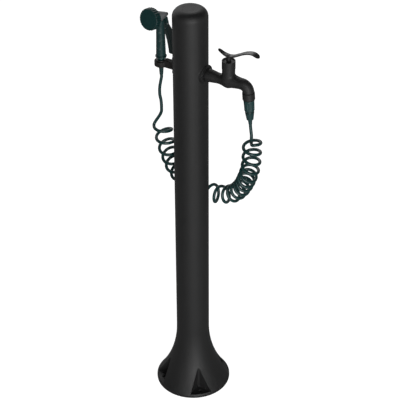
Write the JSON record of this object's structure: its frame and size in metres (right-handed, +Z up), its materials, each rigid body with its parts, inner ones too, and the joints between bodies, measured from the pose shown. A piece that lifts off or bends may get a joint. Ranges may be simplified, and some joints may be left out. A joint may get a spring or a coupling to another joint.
{
  "type": "garden standpipe",
  "caption": "Round garden water post on a flared foot, with a lever tap, a spray gun in a side bracket and a curly hose between them.",
  "frame": {"origin": "middle of the foot, on the ground", "axes": "+Z up along the post, +X towards the tap, so the gun's bracket is on -X and -Y is the front"},
  "size_m": [0.2752, 0.174, 0.989],
  "materials": {
    "post_plastic": "satin charcoal, smooth moulded",
    "badge_metal": "blank satin disc",
    "tap_metal": "satin charcoal powder coat",
    "lever_metal": "satin charcoal, smoother than the tap",
    "dark_steel": "darkened stem",
    "holder_plastic": "satin black",
    "teal_plastic": "satin dark teal",
    "barrel_plastic": "satin grey with a teal tint",
    "dark_teal_plastic": "matt dark teal",
    "connector_plastic": "satin teal",
    "face_plastic": "matt dark teal face",
    "teal_rubber": "soft dark teal cover",
    "hose_tube": "satin dark teal tube",
    "black_plastic": "satin black",
    "black_rubber": "black rubber",
    "ceramic": "polished ceramic",
    "brass": "machined brass",
    "steel": "bright steel"
  },
  "bodies": {
    "post": {"column": "post_plastic", "top_badge": "badge_metal", "inlet_plate": "post_plastic", "plate_screws": "steel", "inlet_nipple": "brass", "inlet_locknut": "brass", "riser_hose": "black_rubber", "hose_clips": "steel", "shank_elbow": "brass", "shank_locknut": "brass", "tap_rosette": "tap_metal", "tap_body": "tap_metal", "tap_bonnet": "tap_metal", "cartridge_sleeve": "brass", "fixed_disc": "ceramic", "spout_collar": "tap_metal", "nipple_seal": "black_rubber", "gun_holder": "holder_plastic", "holder_screws": "steel", "holder_nuts": "steel", "hose_gun_tail": "hose_tube", "hose_coil": "hose_tube", "hose_tap_tail": "hose_tube"},
    "lever": {"spindle": "dark_steel", "moving_disc": "ceramic", "spindle_seal": "black_rubber", "tap_lever": "lever_metal", "lever_screw": "dark_steel"},
    "connector": {"connector_body": "dark_teal_plastic", "connector_jaws": "steel", "connector_nut": "connector_plastic", "connector_boot": "connector_plastic"},
    "sleeve": {"connector_sleeve": "connector_plastic"},
    "gun": {"gun_body": "barrel_plastic", "gun_grip": "teal_rubber", "grip_coupling": "black_plastic", "gun_hose_nut": "teal_plastic", "head_seal": "black_rubber", "trigger_pin": "steel", "valve_spring": "steel"},
    "head": {"spray_head": "teal_plastic", "spray_plate": "face_plastic"},
    "knob": {"flow_knob": "black_plastic"},
    "trigger": {"trigger": "dark_teal_plastic"},
    "valve": {"valve_stem": "steel", "valve_plug": "black_rubber"}
  },
  "joints": [
    {"name": "lever_turn", "type": "hinge", "parent": "post", "child": "lever", "pos_m": [0.093, 0, 0.9], "axis": [0, 0, 1], "range_deg": [0, 90]},
    {"name": "connector_swivel", "type": "hinge", "parent": "post", "child": "connector", "pos_m": [0.14354, 0, 0.80128], "axis": [-0.0785, 0, 0.9969], "continuous": true},
    {"name": "sleeve_pull", "type": "slide", "parent": "connector", "child": "sleeve", "axis": [0.0785, 0, -0.9969], "range_m": [0, 0.004], "stiffness_N_per_m": 600, "springref_m": -0.004},
    {"name": "gun_lift", "type": "slide", "parent": "post", "child": "gun", "axis": [0, 0, 1], "range_m": [0, 0.06], "deforming": ["hose_gun_tail"]},
    {"name": "head_turn", "type": "hinge", "parent": "gun", "child": "head", "pos_m": [-0.074, 0, 0.9515], "axis": [-0.1028, -0.9779, 0.1822], "continuous": true},
    {"name": "knob_turn", "type": "hinge", "parent": "gun", "child": "knob", "pos_m": [-0.074, 0, 0.9515], "axis": [-0.1028, -0.9779, 0.1822], "range_deg": [0, 270]},
    {"name": "trigger_squeeze", "type": "hinge", "parent": "gun", "child": "trigger", "pos_m": [-0.07245, 0.01472, 0.929], "axis": [-0.9945, 0.1045, 0], "range_deg": [0, 10], "stiffness_Nm_per_rad": 1.5, "springref_deg": -17.19},
    {"name": "valve_push", "type": "slide", "parent": "gun", "child": "valve", "axis": [-0.1045, -0.9945, 0], "range_m": [0, 0.0027]}
  ],
  "couplings": [
    {"joint": "valve_push", "follows": "trigger_squeeze", "m_per_rad": 0.0148}
  ]
}
